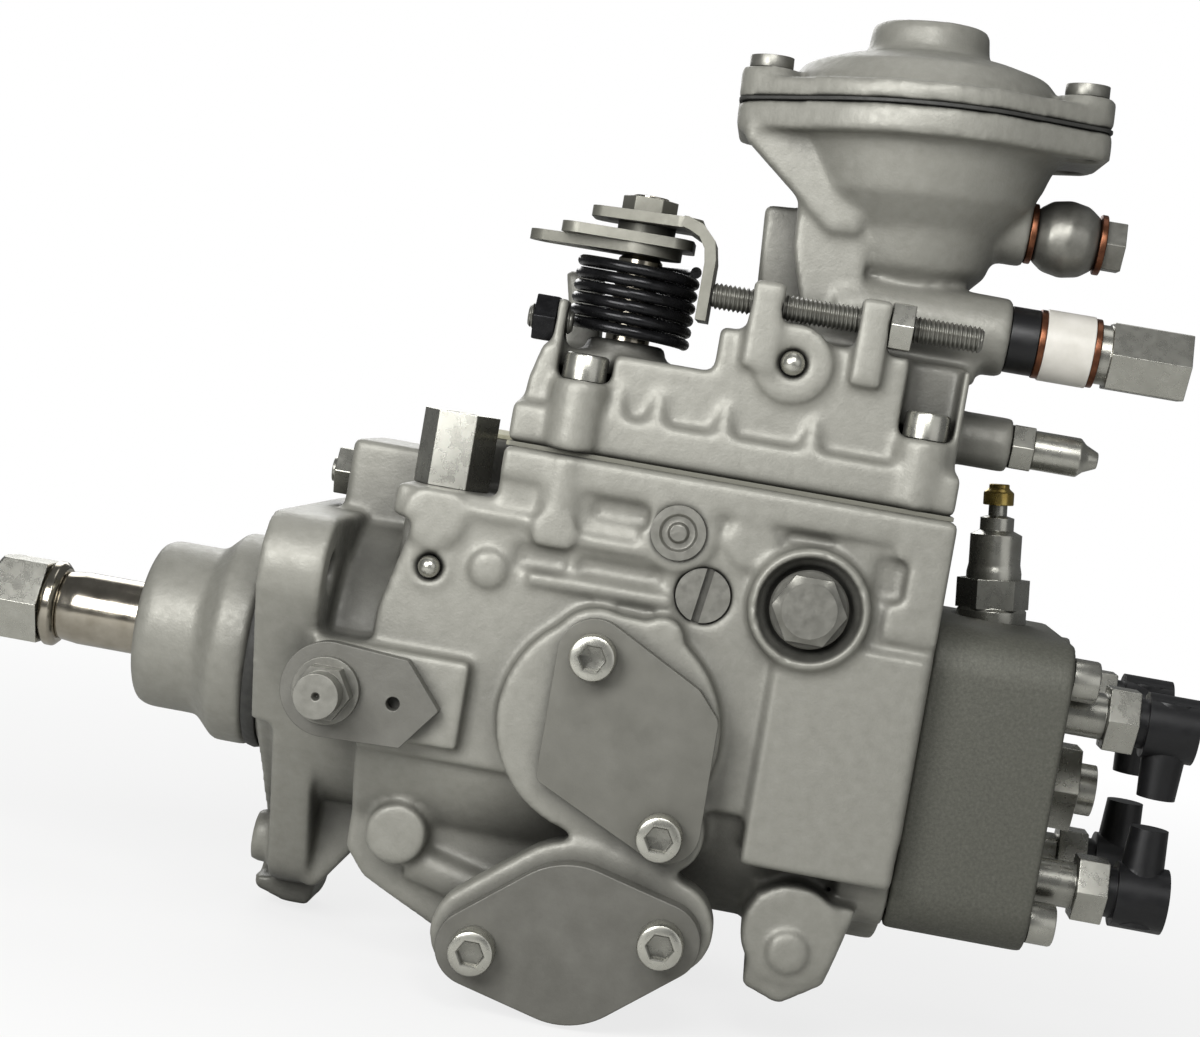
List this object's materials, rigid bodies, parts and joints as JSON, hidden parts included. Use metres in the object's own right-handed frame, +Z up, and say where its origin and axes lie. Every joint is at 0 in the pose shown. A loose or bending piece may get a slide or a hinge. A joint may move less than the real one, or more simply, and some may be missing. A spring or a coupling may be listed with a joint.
{
  "type": "diesel injection pump",
  "caption": "Distributor type fuel injection pump with flange mount, keyless drive shaft, governor cover, boost control unit, control lever and capped outlets.",
  "frame": {"origin": "on the drive shaft axis, in the front face of the mounting flange", "axes": "+X along the drive shaft from the drive end to the outlets, +Z up towards the governor cover, -Y towards the control lever side"},
  "size_m": [0.2811, 0.126, 0.2329],
  "materials": {
    "cast_housing": "blasted casting",
    "cast_cover": "blasted casting",
    "machined_cast": "machined",
    "head_steel": "phosphated",
    "zinc_steel": "zinc plated",
    "polished_steel": "ground",
    "dark_steel": "oiled",
    "lever_steel": "plated sheet",
    "copper": "soft annealed",
    "brass": "turned",
    "black_rubber": "moulded",
    "black_cap": "moulded",
    "black_steel": "oil blackened",
    "white_plastic": "moulded",
    "dull_steel": "phosphated",
    "cast_plate": "pressure casting",
    "paper": "gasket paper"
  },
  "bodies": {
    "pump": {"pump_housing": "cast_housing", "governor_cover": "cast_cover", "cover_gasket": "paper", "cover_bolts": "zinc_steel", "boost_diaphragm": "black_rubber", "boost_lid": "cast_cover", "boost_lid_screws": "dull_steel", "hydraulic_head": "head_steel", "head_bolts": "zinc_steel", "head_center_plug": "zinc_steel", "delivery_holders": "zinc_steel", "outlet_caps": "black_cap", "shutoff_solenoid": "zinc_steel", "terminal_nut": "brass", "side_cover": "machined_cast", "cover_screws": "zinc_steel", "timing_covers": "cast_plate", "support_plate": "cast_plate", "support_bolt": "dull_steel", "side_hex_plug": "dull_steel", "press_plugs": "dull_steel", "rubber_seals": "black_rubber", "feed_pump_ring": "dark_steel", "governor_axle": "zinc_steel", "inner_springs": "black_steel", "lever_spring": "black_steel", "speed_screw": "zinc_steel", "idle_screw": "zinc_steel", "full_load_screw": "zinc_steel", "full_load_sleeve": "zinc_steel", "adjuster_locknuts": "zinc_steel", "return_fitting": "zinc_steel", "return_collar": "black_cap", "return_insulator": "white_plastic", "sealing_washers": "copper", "boost_banjo": "dull_steel", "banjo_bolt": "zinc_steel", "inlet_fitting": "zinc_steel"},
    "drive": {"drive_shaft": "polished_steel", "shaft_nut": "zinc_steel", "shaft_lock_ring": "polished_steel", "feed_pump_rotor": "dark_steel", "drive_gear": "dark_steel", "cam_plate": "polished_steel"},
    "governor": {"governor_cage": "dark_steel"},
    "sleeve": {"governor_sleeve": "polished_steel"},
    "fuel_lever": {"governor_lever": "lever_steel"},
    "collar": {"spill_collar": "polished_steel"},
    "timing_ring": {"roller_ring": "dark_steel"},
    "timing": {"timing_piston": "polished_steel"},
    "control": {"control_shaft": "polished_steel", "control_lever": "lever_steel", "stop_plate": "lever_steel", "lever_nut": "zinc_steel"},
    "boost": {"boost_piston": "polished_steel"},
    "stop_valve": {"solenoid_plunger": "polished_steel"},
    "valve_1": {"delivery_valve_1": "polished_steel"},
    "valve_2": {"delivery_valve_2": "polished_steel"},
    "valve_3": {"delivery_valve_3": "polished_steel"},
    "valve_4": {"delivery_valve_4": "polished_steel"}
  },
  "joints": [
    {"name": "drive_spin", "type": "hinge", "parent": "pump", "child": "drive", "pos_m": [0, 0, 0], "axis": [1, 0, 0], "continuous": true},
    {"name": "governor_spin", "type": "hinge", "parent": "pump", "child": "governor", "pos_m": [0.058, 0.01, 0.043], "axis": [1, 0, 0], "continuous": true},
    {"name": "fuel_lever_tilt", "type": "hinge", "parent": "pump", "child": "fuel_lever", "pos_m": [0.117, 0, 0.03], "axis": [0, 1, 0], "range_deg": [-0.4, 6.6]},
    {"name": "sleeve_slide", "type": "slide", "parent": "pump", "child": "sleeve", "axis": [1, 0, 0], "range_m": [-0.0003, 0.0018]},
    {"name": "collar_slide", "type": "slide", "parent": "pump", "child": "collar", "axis": [1, 0, 0], "range_m": [-0.00225, 0], "stiffness_N_per_m": 400, "springref_m": 0.0005},
    {"name": "timing_slide", "type": "slide", "parent": "pump", "child": "timing", "axis": [0, 1, 0], "range_m": [-0.004, 0.004], "stiffness_N_per_m": 2000},
    {"name": "ring_turn", "type": "hinge", "parent": "pump", "child": "timing_ring", "pos_m": [0.0807, 0, 0], "axis": [1, 0, 0], "range_deg": [-6.2, 6.2]},
    {"name": "lever_turn", "type": "hinge", "parent": "pump", "child": "control", "pos_m": [0.069, -0.02, 0.1], "axis": [0, 0, 1], "range_deg": [-40, 0], "stiffness_Nm_per_rad": 0.6, "springref_deg": 11.46, "deforming": ["lever_spring"]},
    {"name": "boost_slide", "type": "slide", "parent": "pump", "child": "boost", "axis": [-0.0698, 0, 0.9976], "range_m": [-0.006, 0], "stiffness_N_per_m": 1500, "springref_m": 0.002, "deforming": ["inner_springs"]},
    {"name": "stop_valve_slide", "type": "slide", "parent": "pump", "child": "stop_valve", "axis": [-0.1132, 0, 0.9936], "range_m": [0, 0.0015], "stiffness_N_per_m": 800, "springref_m": -0.001},
    {"name": "valve_1_lift", "type": "slide", "parent": "pump", "child": "valve_1", "axis": [1, 0, 0], "range_m": [0, 0.0015], "stiffness_N_per_m": 2000, "springref_m": -0.001},
    {"name": "valve_2_lift", "type": "slide", "parent": "pump", "child": "valve_2", "axis": [1, 0, 0], "range_m": [0, 0.0015], "stiffness_N_per_m": 2000, "springref_m": -0.001},
    {"name": "valve_3_lift", "type": "slide", "parent": "pump", "child": "valve_3", "axis": [1, 0, 0], "range_m": [0, 0.0015], "stiffness_N_per_m": 2000, "springref_m": -0.001},
    {"name": "valve_4_lift", "type": "slide", "parent": "pump", "child": "valve_4", "axis": [1, 0, 0], "range_m": [0, 0.0015], "stiffness_N_per_m": 2000, "springref_m": -0.001}
  ],
  "couplings": [
    {"joint": "governor_spin", "follows": "drive_spin", "ratio": -1.6364},
    {"joint": "sleeve_slide", "follows": "collar_slide", "ratio": -0.55814},
    {"joint": "fuel_lever_tilt", "follows": "collar_slide", "rad_per_m": -46.512},
    {"joint": "ring_turn", "follows": "timing_slide", "rad_per_m": 26}
  ]
}
